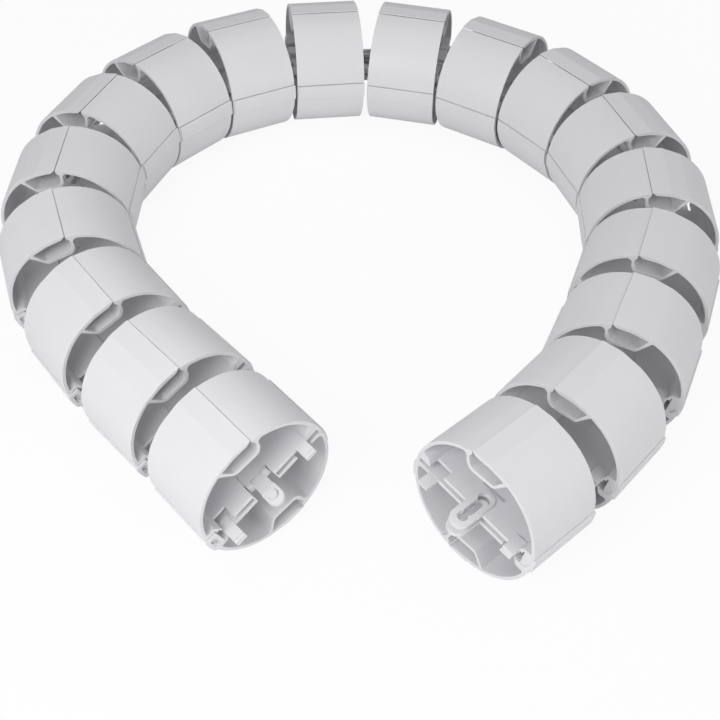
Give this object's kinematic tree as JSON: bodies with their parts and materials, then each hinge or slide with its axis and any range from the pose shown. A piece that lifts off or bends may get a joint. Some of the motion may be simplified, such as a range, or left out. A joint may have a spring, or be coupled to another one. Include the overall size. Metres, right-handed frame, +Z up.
{
  "type": "cable spine",
  "caption": "Round two-channel cable spine: a chain of pinned two-part plastic links that bends from side to side and carries cables from a desk to the floor. Curled in an open ring.",
  "frame": {"origin": "on the floor, under the middle of the box round the whole ring", "axes": "+Z up; the ring lies flat in XY and opens towards -Y, where the first link (left, tongue) and the last link (right, fork) are"},
  "size_m": [0.437, 0.4922, 0.0811],
  "materials": {
    "grey_plastic": "half matt moulded"
  },
  "bodies": {
    "segment_01": {"upper_shell_01": "grey_plastic", "lower_shell_01": "grey_plastic"},
    "segment_02": {"upper_shell_02": "grey_plastic", "lower_shell_02": "grey_plastic"},
    "segment_03": {"upper_shell_03": "grey_plastic", "lower_shell_03": "grey_plastic"},
    "segment_04": {"upper_shell_04": "grey_plastic", "lower_shell_04": "grey_plastic"},
    "segment_05": {"upper_shell_05": "grey_plastic", "lower_shell_05": "grey_plastic"},
    "segment_06": {"upper_shell_06": "grey_plastic", "lower_shell_06": "grey_plastic"},
    "segment_07": {"upper_shell_07": "grey_plastic", "lower_shell_07": "grey_plastic"},
    "segment_08": {"upper_shell_08": "grey_plastic", "lower_shell_08": "grey_plastic"},
    "segment_09": {"upper_shell_09": "grey_plastic", "lower_shell_09": "grey_plastic"},
    "segment_10": {"upper_shell_10": "grey_plastic", "lower_shell_10": "grey_plastic"},
    "segment_11": {"upper_shell_11": "grey_plastic", "lower_shell_11": "grey_plastic"},
    "segment_12": {"upper_shell_12": "grey_plastic", "lower_shell_12": "grey_plastic"},
    "segment_13": {"upper_shell_13": "grey_plastic", "lower_shell_13": "grey_plastic"},
    "segment_14": {"upper_shell_14": "grey_plastic", "lower_shell_14": "grey_plastic"},
    "segment_15": {"upper_shell_15": "grey_plastic", "lower_shell_15": "grey_plastic"},
    "segment_16": {"upper_shell_16": "grey_plastic", "lower_shell_16": "grey_plastic"},
    "segment_17": {"upper_shell_17": "grey_plastic", "lower_shell_17": "grey_plastic"},
    "segment_18": {"upper_shell_18": "grey_plastic", "lower_shell_18": "grey_plastic"}
  },
  "joints": [
    {"name": "link_01", "type": "hinge", "parent": "segment_01", "child": "segment_02", "pos_m": [-0.10529, -0.14015, 0.04026], "axis": [-0.4041, -0.2608, 0.8767], "range_deg": [-21.2, 15.2]},
    {"name": "link_02", "type": "hinge", "parent": "segment_02", "child": "segment_03", "pos_m": [-0.13951, -0.08845, 0.04026], "axis": [-0.3867, -0.2327, 0.8924], "range_deg": [-14.8, 21.6]},
    {"name": "link_03", "type": "hinge", "parent": "segment_03", "child": "segment_04", "pos_m": [-0.169, -0.03392, 0.04026], "axis": [-0.3931, -0.1406, 0.9087], "range_deg": [-1.8, 34.6]},
    {"name": "link_04", "type": "hinge", "parent": "segment_04", "child": "segment_05", "pos_m": [-0.18009, 0.02709, 0.04026], "axis": [-0.3865, -0.005, 0.9223], "range_deg": [0, 36.4]},
    {"name": "link_05", "type": "hinge", "parent": "segment_05", "child": "segment_06", "pos_m": [-0.16975, 0.08822, 0.04026], "axis": [-0.3364, 0.1166, 0.9345], "range_deg": [0, 36.4]},
    {"name": "link_06", "type": "hinge", "parent": "segment_06", "child": "segment_07", "pos_m": [-0.13922, 0.14218, 0.04026], "axis": [-0.2488, 0.1998, 0.9477], "range_deg": [0, 36.4]},
    {"name": "link_07", "type": "hinge", "parent": "segment_07", "child": "segment_08", "pos_m": [-0.09214, 0.18253, 0.04026], "axis": [-0.1437, 0.2349, 0.9614], "range_deg": [0, 36.4]},
    {"name": "link_08", "type": "hinge", "parent": "segment_08", "child": "segment_09", "pos_m": [-0.03415, 0.20444, 0.04026], "axis": [-0.0469, 0.2262, 0.973], "range_deg": [0, 36.4]},
    {"name": "link_09", "type": "hinge", "parent": "segment_09", "child": "segment_10", "pos_m": [0.02785, 0.20531, 0.04026], "axis": [0.0257, 0.1844, 0.9825], "range_deg": [0, 36.4]},
    {"name": "link_10", "type": "hinge", "parent": "segment_10", "child": "segment_11", "pos_m": [0.08643, 0.18502, 0.04026], "axis": [0.065, 0.1252, 0.99], "range_deg": [0, 36.4]},
    {"name": "link_11", "type": "hinge", "parent": "segment_11", "child": "segment_12", "pos_m": [0.13462, 0.146, 0.04026], "axis": [0.094, 0.0806, 0.9923], "range_deg": [0, 36.4]},
    {"name": "link_12", "type": "hinge", "parent": "segment_12", "child": "segment_13", "pos_m": [0.16664, 0.09291, 0.04026], "axis": [0.1261, 0.0477, 0.9909], "range_deg": [0, 36.4]},
    {"name": "link_13", "type": "hinge", "parent": "segment_13", "child": "segment_14", "pos_m": [0.17869, 0.03209, 0.04026], "axis": [0.1457, 0.0022, 0.9893], "range_deg": [0, 36.4]},
    {"name": "link_14", "type": "hinge", "parent": "segment_14", "child": "segment_15", "pos_m": [0.16931, -0.02919, 0.04026], "axis": [0.1498, -0.0478, 0.9876], "range_deg": [-2.5, 33.9]},
    {"name": "link_15", "type": "hinge", "parent": "segment_15", "child": "segment_16", "pos_m": [0.14203, -0.08487, 0.04026], "axis": [0.1504, -0.0793, 0.9854], "range_deg": [-16.6, 19.8]},
    {"name": "link_16", "type": "hinge", "parent": "segment_16", "child": "segment_17", "pos_m": [0.11159, -0.13888, 0.04026], "axis": [0.1409, -0.1107, 0.9838], "range_deg": [-2.9, 33.5]},
    {"name": "link_17", "type": "hinge", "parent": "segment_17", "child": "segment_18", "pos_m": [0.0667, -0.18164, 0.04026], "axis": [0.1232, -0.147, 0.9814], "range_deg": [-12.8, 23.6]}
  ]
}
